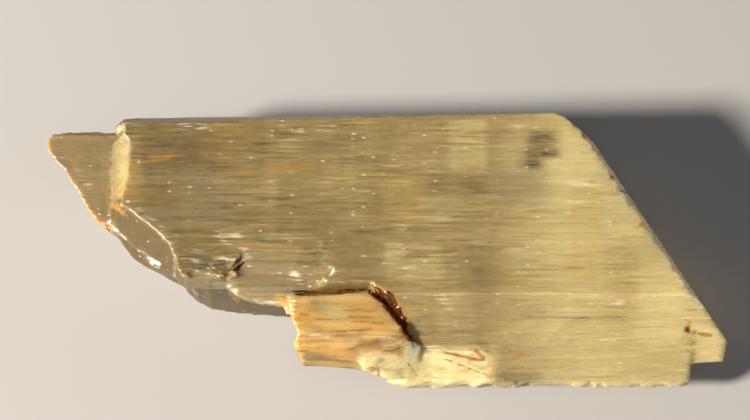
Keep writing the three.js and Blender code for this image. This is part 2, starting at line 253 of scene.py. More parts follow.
# the broken ledges at the front left, drawn nearer to the broad face
leftLedges = {
    "height": (8.6, 10.2),
    "leftShare": 0.7,
    "rightGain": 0.2,
    "rightStart": (-8.0, -6.0),
}


def raiseLedges(mesh):
    for vert in mesh.verts:
        point = vert.co / mm
        share = zoneShare("leftLedges", point) * smoothStep(*leftLedges["height"], point.z)
        right = smoothStep(*leftLedges["rightStart"], point.x)
        share *= leftLedges["leftShare"] + leftLedges["rightGain"] * right
        if point.z < broadFace["top"]:
            vert.co.z += share * (broadFace["top"] - point.z) * mm


# the crags along the front edge, pressed back towards the prism face
ledgePress = {
    "facePoint": (0, -6.4, 11.4),
    "faceOutward": (0, -0.814, 0.58),
    "start": (-2.6, -1.8),
    "end": (11.5, 10.0),
    "height": (4.0, 5.0),
    "back": -9.7,  # crags behind this line stay as they are
    "backGain": 1.5,
    "backChange": (1.4, 2.8),
    "backSoftness": 0.6,
    "proud": 1.35,  # how far the crags may stand out at the left
    "fall": 1.3,  # and how much less at the right
    "fallAlong": (-2.2, 4.6),
    "share": 0.85,
}


def pressLedge(mesh):
    outward = Vector(ledgePress["faceOutward"])
    for vert in mesh.verts:
        point = vert.co / mm
        share = smoothStep(*ledgePress["start"], point.x) * smoothStep(*ledgePress["end"], point.x)
        back = ledgePress["back"] + ledgePress["backGain"] * smoothStep(*ledgePress["backChange"], point.x)
        front = smoothStep(back, back - ledgePress["backSoftness"], point.y)
        share *= smoothStep(*ledgePress["height"], point.z) * front
        proud = (point - Vector(ledgePress["facePoint"])).dot(outward)
        wanted = ledgePress["proud"] - ledgePress["fall"] * smoothStep(*ledgePress["fallAlong"], point.x)
        vert.co -= outward * max(proud - wanted, 0) * ledgePress["share"] * share * mm


# the upright edge between the back and the oblique end, rounded off
backCorner = {
    "point": (16.0, 10.8),
    "outward": (0.6, 0.8),
    "left": 12,
    "height": (5.0, 8.0),
    "share": 0.75,
}


def roundCorner(mesh):
    outward = Vector(backCorner["outward"])
    for vert in mesh.verts:
        point = vert.co / mm
        past = (point.xy - Vector(backCorner["point"])).dot(outward)
        if past > 0 and point.x > backCorner["left"]:
            share = backCorner["share"] * smoothStep(*backCorner["height"], point.z)
            vert.co.xy -= outward * past * share * mm


broadFace = {
    "top": 11.4,  # its height
    "grooveFoot": 11.12,  # height of its deepest grooves
    "blend": 0.8,
    "backShift": 0.4,  # narrows the bevel along the back edge
    "backStart": (10.2, 10.7),
    "shiftHeight": (10.7, 11.2),
}


# the broad face cut off below its grooves, closed flat and raised again to its height
def levelTop(mesh):
    parts = mesh.verts[:] + mesh.edges[:] + mesh.faces[:]
    foot, snap = broadFace["grooveFoot"], surface["snap"] * mm
    found = bmesh.ops.bisect_plane(
        mesh, geom=parts, dist=snap, plane_co=(0, 0, foot * mm), plane_no=(0, 0, 1), clear_outer=True
    )
    rim = [part for part in found["geom_cut"] if isinstance(part, bmesh.types.BMEdge)]
    bmesh.ops.triangle_fill(mesh, use_beauty=True, use_dissolve=False, edges=rim, normal=(0, 0, 1))
    loose = [vert for vert in mesh.verts if not vert.link_faces]
    bmesh.ops.delete(mesh, geom=loose, context="VERTS")
    gaps = [edge for edge in mesh.edges if not edge.is_manifold]
    print("broad face closed, gaps left:", len(gaps))
    for vert in mesh.verts:
        share = smoothStep(foot - broadFace["blend"], foot, vert.co.z / mm)
        vert.co.z += (broadFace["top"] - foot) * share * mm
        point = vert.co / mm
        back = broadFace["backShift"] * smoothStep(*broadFace["backStart"], point.y)
        vert.co.y += back * smoothStep(*broadFace["shiftHeight"], point.z) * mm
    bmesh.ops.recalc_face_normals(mesh, faces=mesh.faces)


# the lower grown faces, whose steps are evened out: a point, the way out and the box they lie in
grownFaces = [
    ((-27, 5, 8.7), (0, 0, 1), (-32, -4, 8.2), (-23.4, 11, 9.2)),
    ((-4, -7.1, 9.55), (0, 0.07, 1), (-8.5, -9.4, 9.1), (3, -5.9, 10.1)),
]
evening = {
    "share": 0.8,
    "reach": (0.5, 0.3),
    "softness": 0.15,
}


def evenFaces(mesh):
    for start, outward, low, high in grownFaces:
        outward = Vector(outward).normalized()
        for vert in mesh.verts:
            point = vert.co / mm
            proud = (point - Vector(start)).dot(outward)
            near = smoothStep(*evening["reach"], abs(proud)) * boxShare(point, low, high, evening["softness"])
            vert.co -= outward * proud * evening["share"] * near * mm


# grooves of the front face, ledges and hollows that are smoothed
softening = {
    "times": 20,
    "pull": 0.5,
    "facePoint": (0, -6.54, 11.1),
    "faceOutward": (0, -0.811, 0.585),
    "near": 0.5,
    "back": -6.7,
    "left": 2.6,
    "right": 26.4,
    "foot": 4.0,
    "grown": 0.3,  # faces less broken than this and turned to the front count as front
    "frontTurn": -0.45,
    "inside": 0.5,
}


def isFront(point, normal, share):
    proud = (point - Vector(softening["facePoint"])).dot(Vector(softening["faceOutward"]))
    along = softening["left"] < point.x < softening["right"]
    near = abs(proud) < softening["near"] and point.y < softening["back"] and along
    if near and point.z > softening["foot"] and ledgeShare(point) < softening["inside"]:
        return True
    return share < softening["grown"] and normal.y < softening["frontTurn"]


def softenGrooves(mesh, broken):
    mesh.normal_update()
    inside = softening["inside"]
    front, ledge, hollow = [], [], []
    for vert, share in zip(mesh.verts, broken):
        point = vert.co / mm
        if isFront(point, vert.normal, share):
            front.append(vert)
        elif zoneShare("notch", point) > inside and vert.normal.z > 0:
            ledge.append(vert)
        elif zoneShare("scoopFloor", point) > inside or zoneShare("crackFoot", point) > inside:
            hollow.append(vert)
    axes = {"use_axis_x": True, "use_axis_y": True, "use_axis_z": True}
    for verts in (front, front, ledge, hollow):
        for _ in range(softening["times"]):
            bmesh.ops.smooth_vert(mesh, verts=verts, factor=softening["pull"], **axes)


relief = {
    "striation": 0.05,
    "streaks": [  # fineness along and across the length, place in the noise and share
        (0.04, 0.9, 31, 0.6),
        (0.05, 1.5, 0, 0.5),
        (0.16, 3.7, 11, 0.5),
        (0.5, 6.7, 23, 0.45),
    ],
    "grownTurn": (0.75, 0.35),
    "hackle": 0.1,
    "hackleScale": 1.1,
    "hackleNoise": (0.8, 2.1, 4),
    "grownHackle": 0.1,
    "scoopCalm": 0.75,
    "frontRoom": (0.0, 0.8),
    "behindRoom": (0.0, 0.7),
    "underTurn": -0.5,
    "underHeight": 0.6,
}


def streak(point, along, across, shift):
    return noise.noise(Vector((point.x * along + shift, point.y * across, point.z * across + shift)))


def displaceSurface(mesh, broken, rooms):
    mesh.normal_update()
    for vert, share, (front, behind) in zip(mesh.verts, broken, rooms):
        point = vert.co / mm
        grown = (1 - share) * smoothStep(*relief["grownTurn"], abs(vert.normal.x))
        ridges = sum(streak(point, *fineness) * amount for *fineness, amount in relief["streaks"])
        rough = noise.fractal(point * relief["hackleScale"], *relief["hackleNoise"])
        calm = 1 - relief["scoopCalm"] * zoneShare("scoopCalm", point)
        rise = ridges * relief["striation"] * grown
        rise += rough * relief["hackle"] * (relief["grownHackle"] * (1 - share) + share) * calm
        rise *= smoothStep(*relief["frontRoom"], front) * smoothStep(*relief["behindRoom"], behind)
        if vert.normal.z < relief["underTurn"] and point.z < relief["underHeight"]:
            rise = -abs(rise)
        vert.co += vert.normal * rise * mm
        vert.co.z = max(vert.co.z, 0.0)


# strokes of stain, of pale flecks and painted highlights, and of shade, from one point to another: (x, y, x,
# y, half width, strength)
strokes = {
    "iron": [
        (-21.9, 6.4, -19.0, 6.8, 0.13, 0.8),
        (-21.2, 6.9, -17.6, 7.1, 0.14, 0.8),
        (-10.6, 5.8, -8.3, 6.0, 0.15, 0.85),
        (-7.9, 6.0, -4.8, 6.2, 0.14, 0.9),
        (-13.5, 5.2, -11.6, 5.2, 0.14, 0.85),
        (-20.5, 5.1, -17.4, 5.0, 0.14, 0.55),
        (-17.4, 5.0, -14.6, 5.2, 0.1, 0.35),
        (-13.2, -1.7, -12.0, -1.6, 0.16, 0.75),
        (-11.9, -1.8, -9.5, -1.8, 0.13, 0.8),
        (-8.2, -1.9, -6.8, -2.4, 0.35, 0.5),
        (-24.5, 4.6, -22.6, 3.5, 0.4, 0.6),
        (-24.2, 3.0, -23.2, 1.8, 0.3, 0.7),
        (-29.6, 10.5, -24.3, 10.5, 0.35, 0.7),
        (-30.6, 9.9, -30.4, 8.2, 0.45, 0.7),
        (-30.3, 8.2, -28.1, 5.6, 0.4, 0.65),
        (-28.2, 5.4, -26.6, 2.9, 0.3, 0.6),
        (-26.6, 2.9, -24.4, 0.3, 0.4, 0.85),
        (-24.9, 1.4, -24.5, 1.2, 0.35, 0.95),
        (-24.4, 0.3, -22.9, -0.9, 0.3, 0.65),
        (-28.7, 8.5, -28.0, 7.4, 0.35, 0.5),
        (-28.9, 7.6, -28.2, 6.9, 0.25, 0.45),
        (-25.0, 5.2, -24.5, 4.2, 0.16, 0.9),
        (-25.6, 4.9, -24.8, 5.1, 0.1, 0.7),
        (-25.4, 7.3, -22.9, 7.1, 0.07, 0.8),
        (-22.4, -2.4, -20.3, -3.1, 0.25, 0.6),
        (-13.2, -4.0, -12.4, -3.2, 0.22, 1.3),
        (-13.9, -4.5, -13.4, -4.0, 0.12, 0.7),
        (-7.4, -5.5, -3.6, -5.4, 0.2, 0.95),
        (-3.6, -5.4, -1.2, -5.5, 0.14, 0.9),
        (-1.2, -5.5, 0.3, -6.5, 0.3, 1.3),
        (0.3, -6.5, 1.5, -8.1, 0.55, 1.5),
        (1.5, -8.1, 2.2, -9.3, 0.3, 1.3),
        (1.2, -6.9, 2.4, -8.6, 0.6, 0.5),
        (-7.6, -5.9, -6.6, -8.8, 0.7, 0.45),
        (-6.3, -9.6, -5.1, -10.3, 0.5, 0.5),
        (-2.6, -8.0, -0.4, -7.4, 0.8, 0.3),
        (-1.4, -8.3, 0.1, -8.4, 0.1, 1.05),
        (-2.5, -8.2, -1.6, -8.2, 0.1, 1.0),
        (-5.4, -9.2, -1.2, -8.9, 0.1, 1.0),
        (-2.6, -6.9, -2.1, -6.9, 0.1, 0.8),
        (-5.8, -7.9, -4.5, -7.95, 0.12, 0.95),
        (-3.2, -7.7, -1.2, -7.75, 0.11, 0.95),
        (-6.9, -9.9, -4.9, -9.8, 0.14, 0.8),
        (-7.6, -7.5, -6.8, -7.5, 0.12, 1.0),
        (-3.7, -7.0, -1.0, -7.2, 0.09, 0.9),
        (-0.5, -6.4, -0.2, -6.7, 0.22, 0.9),
        (-2.2, -9.8, -1.9, -9.9, 0.1, 0.7),
        (1.0, -9.6, 2.3, -10.3, 0.3, 0.35),
        (-1.7, -11.5, -0.3, -11.4, 0.12, 0.6),
        (5.3, -9.9, 8.6, -10.4, 0.12, 0.9),
        (8.1, -9.8, 8.8, -10.3, 0.2, 0.8),
        (5.4, -10.3, 9.4, -11.4, 0.06, 0.75),
        (2.1, -10.8, 2.9, -11.4, 0.07, 0.75),
        (1.5, -11.6, 7.0, -12.2, 0.2, 0.5),
        (14.4, -10.3, 14.5, -10.3, 0.25, 1.0),
        (11.4, -10.2, 12.4, -9.9, 0.16, 0.8),
        (2.0, -7.0, 4.2, -7.1, 0.1, 0.55),
        (2.6, -8.2, 4.6, -8.3, 0.12, 0.6),
        (2.7, -9.1, 4.4, -9.1, 0.12, 0.6),
        (16.1, -3.8, 17.6, -3.8, 0.13, 0.8),
        (11.0, -5.1, 12.3, -5.1, 0.08, 0.4),
        (17.1, -1.1, 19.2, -1.1, 0.3, 0.3),
        (17.8, 9.2, 20.2, 6.4, 0.3, 0.6),
        (20.2, 4.9, 20.3, 4.9, 0.3, 0.9),
        (21.2, 3.6, 21.4, 3.6, 0.25, 0.8),
        (22.7, 0.4, 22.9, 0.4, 0.3, 0.95),
        (26.75, -7.9, 26.8, -8.7, 0.16, 0.9),
        (26.85, -9.3, 26.95, -9.7, 0.12, 0.8),
        (27.7, -8.6, 29.1, -8.7, 0.13, 0.85),
        (20.6, -10.4, 23.8, -10.4, 0.14, 0.4),
        (20.5, -11.3, 21.5, -11.9, 0.3, 0.5),
    ],
    # pale strokes: pale flecks, and painted highlights and painted light on rims and on places in shadow
    "paleAndPaintedHighlight": [
        (-18.3, 10.0, -16.0, 10.0, 0.26, 0.9),
        (-10.2, 9.8, -7.2, 9.7, 0.24, 0.8),
        (-6.1, 9.8, -4.4, 9.8, 0.24, 0.8),
        (11.2, 9.9, 12.6, 9.9, 0.26, 0.6),
        (-23.4, 10.4, -22.4, 10.6, 0.35, 0.8),
        (-14.8, -0.4, -12.9, -0.9, 0.4, 0.75),
        (-14.2, -1.2, -12.8, -1.5, 0.25, 0.8),
        (-17.6, -2.2, -13.4, -2.3, 0.14, 0.6),
        (-14.4, -3.1, -12.9, -3.4, 0.4, 0.95),
        (-17.8, -2.9, -16.4, -3.2, 0.25, 0.6),
        (-12.4, -2.0, -12.0, -2.9, 0.25, 0.6),
        (-13.7, -4.4, -13.6, -5.9, 0.2, 0.75),
        (-13.3, -6.2, -12.6, -6.5, 0.16, 0.6),
        (-11.2, -6.1, -9.4, -6.2, 0.16, 0.7),
        (-8.1, -4.2, -7.5, -4.5, 0.28, 1.0),
        (-7.2, -3.4, -6.8, -3.6, 0.2, 1.0),
        (-22.0, 2.4, -21.3, 1.3, 0.16, 0.4),
        (-21.3, 1.3, -19.9, 0.4, 0.16, 0.5),
        (-19.9, 0.4, -19.2, -0.7, 0.16, 0.5),
        (-19.2, -0.7, -18.4, -2.0, 0.16, 0.5),
        (-18.4, -2.0, -18.6, -3.8, 0.14, 0.5),
        (-27.8, 6.9, -26.4, 5.2, 0.16, 0.6),
        (-26.4, 5.2, -25.9, 4.2, 0.16, 0.6),
        (-6.4, -9.4, -4.6, -9.5, 0.16, 0.7),
        (-0.2, -9.8, 2.8, -10.0, 0.3, 0.7),
        (-0.3, -9.6, 5.2, -9.6, 0.14, 0.9),
        (-2.3, -11.0, -2.0, -10.4, 0.12, 0.9),
        (-0.2, -10.4, 0.1, -11.2, 0.14, 0.9),
        (4.9, -6.6, 5.7, -6.9, 0.28, 0.8),
        (16.5, 4.4, 18.8, 4.3, 0.24, 0.6),
        (16.2, 2.5, 17.4, 2.5, 0.2, 0.5),
        (19.2, -9.0, 20.7, -9.0, 0.35, 0.5),
        (19.8, -6.8, 20.7, -6.8, 0.12, 0.8),
        (0.1, -0.2, 1.9, -0.2, 0.14, 0.5),
        (9.8, -12.4, 17.5, -12.6, 0.2, 0.7),
    ],
    "dark": [
        (-2.7, -0.4, -0.8, -0.4, 0.14, 0.8),
        (-2.5, 2.2, 1.2, 2.3, 0.12, 0.35),
        (-16.2, -3.6, -14.2, -3.7, 0.4, 0.5),
        (-14.4, 2.0, -13.8, 2.0, 0.14, 0.6),
        (8.4, -9.3, 9.1, -9.6, 0.2, 0.6),
        (5.9, -8.6, 8.0, -8.6, 0.1, 0.5),
        (-25.2, 10.6, -24.7, 10.6, 0.18, 0.9),
        (-23.6, 10.4, -23.3, 10.4, 0.18, 0.8),
        (-12.9, -6.1, -12.2, -6.2, 0.2, 0.7),
        (-29.6, 8.0, -28.6, 7.2, 0.5, 0.3),
        (-26.6, 7.4, -25.8, 7.2, 0.3, 0.35),
    ],
}


strokeEdge = {
    "ragged": 0.5,
    "raggedScale": 2.3,
    "outer": 1.6,  # half widths from the middle where a stroke ends
    "inner": 0.3,  # and where it is full
}

# soft blocks that are lighter or darker, amber or grey: (x, y, x, y, softness, strength); the lighter and
# darker ones are partly painted light and shade
patches = {
    # lighter and darker blocks: tone, and painted light and shade, such as lighter bands for light reflected
    # inside and lighter blocks over places in shadow
    "liftAndPaintedLight": [
        (5.9, 5.2, 9.0, 10.7, 0.3, 0.24),
        (-10.6, -0.3, -9.7, 10.9, 0.3, 0.1),
        (-3.6, 0.0, -1.2, 10.9, 0.8, 0.08),
        (0.0, -5.0, 5.1, -1.4, 0.35, 0.14),
        (0.1, -3.2, 1.4, -1.0, 0.15, 0.16),
        (15.0, 4.9, 18.9, 8.6, 1.2, 0.14),
        (22.2, -9.3, 26.1, -3.6, 0.9, 0.16),
        (-13.6, -2.8, -11.8, 0.2, 0.4, 0.14),
        (4.9, -9.0, 8.0, -6.0, 0.5, 0.12),
        (3.8, 2.9, 9.1, 5.4, 0.7, -0.14),
        (4.9, -6.3, 9.8, -1.4, 0.8, -0.1),
        (19.7, -7.8, 22.2, -0.7, 0.4, -0.12),
        (-23.0, 6.0, -9.0, 9.6, 1.2, -0.13),
        (-18.0, -3.9, -13.5, -2.6, 0.3, -0.1),
        (-12.4, -6.6, -7.6, -1.4, 0.5, 0.12),
        (-5.8, -8.4, -2.8, -6.2, 1.3, 0.45),
        (-13.4, -6.5, -9.0, -4.9, 0.4, 0.14),
        (10.1, -12.3, 14.0, -11.2, 0.3, -0.24),
    ],
    "dusk": [
        (12.9, 7.9, 15.3, 9.6, 0.5, 0.9),
        (12.4, 6.9, 15.4, 7.7, 0.4, 1.05),
        (12.3, 5.8, 14.2, 6.7, 0.4, 0.95),
    ],
    "amber": [
        (15.9, -5.2, 19.2, 4.0, 0.9, 0.3),
        (-7.8, -9.6, -6.4, -5.8, 0.6, 0.5),
        (-3.0, -7.4, -0.6, -5.6, 0.6, 0.4),
        (-16.4, 6.7, -12.0, 10.9, 1.5, 0.2),
        (-0.2, 0.7, 3.4, 5.1, 0.9, 0.3),
        (18.8, -9.6, 22.5, -3.9, 1.5, 0.25),
        (-23.6, 2.6, -21.6, 6.4, 0.8, 0.35),
        (13.0, 7.2, 16.2, 10.8, 0.7, 0.25),
    ],
    "grey": [
        (-18.0, 0.6, -13.5, 4.9, 1.2, 0.45),
        (9.7, 2.4, 14.6, 5.6, 0.9, 0.5),
        (-12.4, -4.6, -9.6, -1.9, 0.4, 0.3),
        (-23.4, -2.0, -18.6, 1.6, 0.8, 0.4),
        (10.1, -12.3, 14.0, -11.2, 0.4, 0.5),
        (-21.0, 4.6, -16.0, 6.6, 1.0, 0.2),
    ],
}


def patchSum(name, point):
    total = 0.0
    for x0, y0, x1, y1, soft, strength in patches[name]:
        if x0 - soft < point.x < x1 + soft and y0 - soft < point.y < y1 + soft:
            total += strength * boxShare((point.x, point.y), (x0, y0), (x1, y1), soft)
    return total


def strokeShare(name, point):
    best = 0.0
    for x0, y0, x1, y1, half, strength in strokes[name]:
        if not min(x0, x1) - 3 * half < point.x < max(x0, x1) + 3 * half:
            continue
        alongX, alongY = x1 - x0, y1 - y0
        length = alongX * alongX + alongY * alongY
        share = ((point.x - x0) * alongX + (point.y - y0) * alongY) / length
        share = min(max(share, 0), 1)
        away = math.hypot(point.x - x0 - alongX * share, point.y - y0 - alongY * share)
        if away < 3 * half:
            ragged = half * (1 + strokeEdge["ragged"] * noise.noise(point * strokeEdge["raggedScale"]))
            outer, inner = ragged * strokeEdge["outer"], ragged * strokeEdge["inner"]
            best = max(best, strength * smoothStep(outer, inner, away))
    return best


# soft borders of the tints: along X, Y or Z, or how far a face is turned
borders = {
    "tipWallTurn": (0.1, 0.5),
    "tipWallStart": (-24.8, -22.8),
    "rimStart": (9.5, 10.5),
    "rimFront": (-11.4, -11.9),
    "rimTop": (4.6, 3.9),
    "rightTip": (26.7, 27.1),
    "rightTipFront": (-7.8, -8.2),
    "endTurn": (0.3, 0.7),
    "endStart": (14.0, 17.0),
    "tip": (-23.2, -24.2),
    "tipTop": (9.4, 8.9),
    "sideFrontTurn": (-0.4, -0.7),
    "windowTop": (11.2, 11.0),
    "wallFootTurn": (-0.3, -0.6),
    "backTurn": (0.2, 0.6),
    "backEnd": (14.0, 10.0),
    "marksFoot": (2.5, 5.0),
    "crevice": (0.7, 0.25),
    "crackTurn": (-0.15, -0.4),
    "crackStart": (-0.9, 0.1),
    "bevelTurn": (0.3, 0.5),
    "bevelFoot": (9.8, 10.3),
    "bevelStart": (17, 19),
}
tints = {
    # the bright tints are glassy colour and painted light: painted light on the right tip, which lies in
    # shadow, and a painted highlight along the lower front rim
    "brightTipWall": 0.3,
    "rimPaintedHighlight": 0.5,
    "rightTipPaintedLight": 0.5,
    "brightTip": 0.06,
    "honeySide": 0.62,
    "creamShare": 0.6,
    "honeyLedge": 0.5,
    "honeySideFront": 0.8,
    "oliveSideFront": 0.8,
    "oliveBack": 0.2,
    "oliveScoop": 0.6,
    "tipSlope": 0.25,
    "tipHeight": 8.7,
    "creviceIron": 1.1,
    "crackIron": 1.7,
    "crackTopIron": 0.35,
}


def borderShare(name, value):
    return smoothStep(*borders[name], value)


# where the crystal is glassy with painted light, honey yellow, clear with painted shade, and olive with
# painted shade
def tintShares(point, normal, broken):
    tipWall = zoneShare("tipWall", point) * borderShare("tipWallTurn", -normal.x)
    tipWall *= borderShare("tipWallStart", point.x)
    rim = borderShare("rimStart", point.x) * borderShare("rimFront", point.y) * borderShare("rimTop", point.z)
    ledge = ledgeShare(point)
    side = sideCrystalShare(point)
    rightTip = borderShare("rightTip", point.x) * borderShare("rightTipFront", point.y)
    rightEnd = borderShare("endTurn", normal.x) * borderShare("endStart", point.x)
    slantedX = point.x + tints["tipSlope"] * (point.z - tints["tipHeight"])
    tip = borderShare("tip", slantedX) * borderShare("tipTop", point.z)
    # painted light: the ledge, the right tip and the faces of the oblique end turned away from the light are
    # brightened as if lit through the crystal; a painted highlight runs along the lower front rim
    glassyAndPaintedLight = max(tints["brightTipWall"] * tipWall, tints["rimPaintedHighlight"] * rim, ledge, rightEnd)
    glassyAndPaintedLight = max(glassyAndPaintedLight, tints["rightTipPaintedLight"] * rightTip, tints["brightTip"] * tip)
    sideFront = side * borderShare("sideFrontTurn", normal.y)
    cream = 1 - tints["creamShare"] * zoneShare("creamPatch", point)
    honey = max(tints["honeySide"] * side * cream, tints["honeyLedge"] * ledge)
    honey = max(honey, tints["honeySideFront"] * sideFront)
    window = zoneShare("window", point) * borderShare("windowTop", point.z)
    # painted shade: the thin tip is darkened and greyed as if a shadowed floor showed through it; the window
    # takes the same clear colour
    clear = max(tip, window * (1 - side))
    # painted shade: the foot of the front wall and the scoop are darkened with olive as if in shade, besides
    # their olive colour
    wallFoot = zoneShare("wallFoot", point) * borderShare("wallFootTurn", normal.y)
    scoop = zoneShare("scoopTint", point) * max(broken, tints["oliveScoop"])
    back = borderShare("backTurn", normal.y) * borderShare("backEnd", point.x)
    oliveAndShade = max(wallFoot, scoop, tints["oliveBack"] * back, tints["oliveSideFront"] * sideFront)
    return glassyAndPaintedLight, honey, clear, oliveAndShade


def ironShare(point, normal, front, above):
    crevice = borderShare("crevice", front) * zoneShare("crackSurround", point)
    wall = zoneShare("crackWall", point) * borderShare("crackTurn", normal.x)
    wall *= tints["crackTopIron"] + (1 - tints["crackTopIron"]) * borderShare("crackStart", point.x)
    strokeIron = strokeShare("iron", point) * above
    return max(strokeIron, tints["creviceIron"] * crevice, tints["crackIron"] * wall)


def paintMarks(mesh, broken, rooms):
    marks = mesh.verts.layers.float_color.new("marks")
    tintLayer = mesh.verts.layers.float_color.new("tints")
    tones = mesh.verts.layers.float_color.new("tones")
    mesh.normal_update()
    for vert, share, (front, _) in zip(mesh.verts, broken, rooms):
        point = vert.co / mm
        above = borderShare("marksFoot", point.z)
        # pale flecks and painted highlights
        paleAndPaintedHighlight = strokeShare("paleAndPaintedHighlight", point) * above
        dark = max(strokeShare("dark", point), patchSum("dusk", point)) * above
        vert[marks] = (share, ironShare(point, vert.normal, front, above), paleAndPaintedHighlight, dark)
        vert[tintLayer] = tintShares(point, vert.normal, share)
        # lighter and darker blocks: tone, with painted light and painted shade
        liftAndPaintedLight = min(max(0.5 + patchSum("liftAndPaintedLight", point) * above, 0), 1)
        # painted highlight: a bright line along the bevel of the oblique end, which faces away from the light
        bevel = borderShare("bevelTurn", vert.normal.x) * borderShare("bevelFoot", point.z)
        bevel *= borderShare("bevelStart", point.x)
        vert[tones] = (liftAndPaintedLight, patchSum("amber", point) * above, patchSum("grey", point) * above, bevel)


def makeCrystal():
    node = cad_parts["spodumene_crystal"]
    mesh = bmesh.new()
    mesh.from_mesh(node.data)
    bmesh.ops.remove_doubles(mesh, verts=mesh.verts, dist=surface["merge"] * mm)
    levelTop(mesh)
    evenFaces(mesh)
    flat = math.radians(surface["flat"])
    bmesh.ops.dissolve_limit(mesh, angle_limit=flat, verts=mesh.verts, edges=mesh.edges)
    low, high = (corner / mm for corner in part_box(node.name))
    leftEnd, middleEnd = surface["leftEnd"], surface["middleEnd"]
    for axis, start, end, pitch, seed in (
        (1, low.y, high.y, surface["rows"], 1.5),
        (2, low.z, high.z, surface["layers"], 2.5),
        (0, low.x, leftEnd, surface["leftCells"], 3.5),
        (0, leftEnd, middleEnd, surface["middleCells"], 4.5),
        (0, middleEnd, high.x, surface["rightCells"], 5.5),
    ):
        sliceMesh(mesh, axis, cutPlaces(start, end, pitch, seed))
    bmesh.ops.triangulate(mesh, faces=mesh.faces)
    print("crystal cut into", len(mesh.faces), "faces")
    mesh.normal_update()
    broken = [fractureShare(vert.co / mm, vert.normal) for vert in mesh.verts]
    fillCracks(mesh)
    raiseLedges(mesh)
    pressLedge(mesh)
    roundCorner(mesh)
    roundBreaks(mesh, broken)
    softenGrooves(mesh, broken)
    mesh.normal_update()
    rooms = roomAround(mesh)
    displaceSurface(mesh, broken, rooms)
    print("crystal surface moved")
    paintMarks(mesh, broken, rooms)
    data = bpy.data.meshes.new("striatedCrystal")
    mesh.to_mesh(data)
    mesh.free()
    data.shade_smooth()
    data.set_sharp_from_angle(angle=math.radians(surface["sharp"]))
    piece = bpy.data.objects.new("striatedCrystal", data)
    scene.collection.objects.link(piece)
    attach(piece, "root")
    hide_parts(node.name)
    return piece


# helpers for shader nodes: a value is a number, a colour or another node's socket
def feed(tree, socket, value):
    if isinstance(value, bpy.types.NodeSocket):
        tree.links.new(value, socket)
    else:
        socket.default_value = value


def mathOf(tree, operation, first, second=0.0, clamp=False):
    node = tree.nodes.new("ShaderNodeMath")
    node.operation = operation
    node.use_clamp = clamp
    feed(tree, node.inputs[0], first)
    feed(tree, node.inputs[1], second)
    return node.outputs[0]


def rangeOf(tree, value, fromLow, fromHigh, toLow, toHigh):
    node = tree.nodes.new("ShaderNodeMapRange")
    node.interpolation_type = "SMOOTHSTEP"
    for socket, number in zip(node.inputs, (value, fromLow, fromHigh, toLow, toHigh)):
        feed(tree, socket, number)
    return node.outputs[0]


# a value turned round its middle of 0.5 and scaled, for adding to another
def swing(tree, value, amount):
    return mathOf(tree, "MULTIPLY", mathOf(tree, "SUBTRACT", value, 0.5), amount)


def blendOf(tree, share, first, second):
    node = tree.nodes.new("ShaderNodeMix")
    node.data_type = "RGBA"
    feed(tree, node.inputs[0], share)
    feed(tree, node.inputs[6], first)
    feed(tree, node.inputs[7], second)
    return node.outputs[2]


def noiseOf(tree, place, scale, detail, rough, offset):
    mapping = tree.nodes.new("ShaderNodeMapping")
    mapping.inputs["Location"].default_value = offset
    mapping.inputs["Scale"].default_value = scale
    tree.links.new(place, mapping.inputs["Vector"])
    node = tree.nodes.new("ShaderNodeTexNoise")
    node.inputs["Scale"].default_value = 1.0
    node.inputs["Detail"].default_value = detail
    node.inputs["Roughness"].default_value = rough
    tree.links.new(mapping.outputs[0], node.inputs["Vector"])
    return node.outputs[0]


def cellsOf(tree, place, scale, metric, offset):
    mapping = tree.nodes.new("ShaderNodeMapping")
    mapping.inputs["Location"].default_value = offset
    mapping.inputs["Scale"].default_value = scale
    tree.links.new(place, mapping.inputs["Vector"])
    node = tree.nodes.new("ShaderNodeTexVoronoi")
    node.distance = metric
    node.inputs["Scale"].default_value = 1.0
    tree.links.new(mapping.outputs[0], node.inputs["Vector"])
    split = tree.nodes.new("ShaderNodeSeparateColor")
    tree.links.new(node.outputs["Color"], split.inputs[0])
    return node.outputs["Distance"], split.outputs[0]


def rampOf(tree, value, stops):
    node = tree.nodes.new("ShaderNodeValToRGB")
    tree.links.new(value, node.inputs[0])
    ramp = node.color_ramp
    while len(ramp.elements) < len(stops):
        ramp.elements.new(0.5)
    for element, (place, color) in zip(ramp.elements, stops):
        element.position = place
        element.color = color
    return node.outputs[0]


def sumOf(tree, *values):
    total = values[0]
    for value in values[1:]:
        total = mathOf(tree, "ADD", total, value)
    return total


spodumene = {
    "shadeColor": (0.185, 0.137, 0.055, 1),
    "bodyColor": (0.41, 0.318, 0.132, 1),
    "brightColor": (0.69, 0.6, 0.295, 1),
    "amberColor": (0.6, 0.41, 0.125, 1),
    "greyColor": (0.32, 0.265, 0.155, 1),
    # glassy cream, also painted light on faces in shadow
    "glassyColor": (1.0, 0.85, 0.44, 1),
    "honeyColor": (0.74, 0.46, 0.13, 1),
    # clear colour, darkened as painted shade
    "clearColor": (0.29, 0.215, 0.115, 1),
    # olive, also painted shade
    "oliveColor": (0.125, 0.08, 0.011, 1),
    "ironColor": (0.48, 0.24, 0.035, 1),
    "deepIronColor": (0.085, 0.018, 0.003, 1),
    # pale flecks, also painted glints and highlights
    "fleckColor": (1.0, 0.93, 0.72, 1),
    "veilColor": (0.09, 0.068, 0.03, 1),
    "transmission": 0.52,
    "glowRadius": (1.0, 0.85, 0.6),
    "glowScale": 1.5,
    "ior": 1.66,
    "shine": 0.36,
    "absorption": (0.8, 0.64, 0.34, 1),
    "density": 90.0,
    "honeyCalm": 1.3,
    "oliveAndShade": 0.92,
    "clear": 0.6,
    # strength of the painted highlight on the bevel
    "bevel": 0.8,
    "hazeRough": 0.16,
    "ironRough": 0.2,
    "deepRough": -0.5,
    "leastRough": 0.12,
    "grainDepth": 0.03,
    "hackleDepth": 0.06,
}

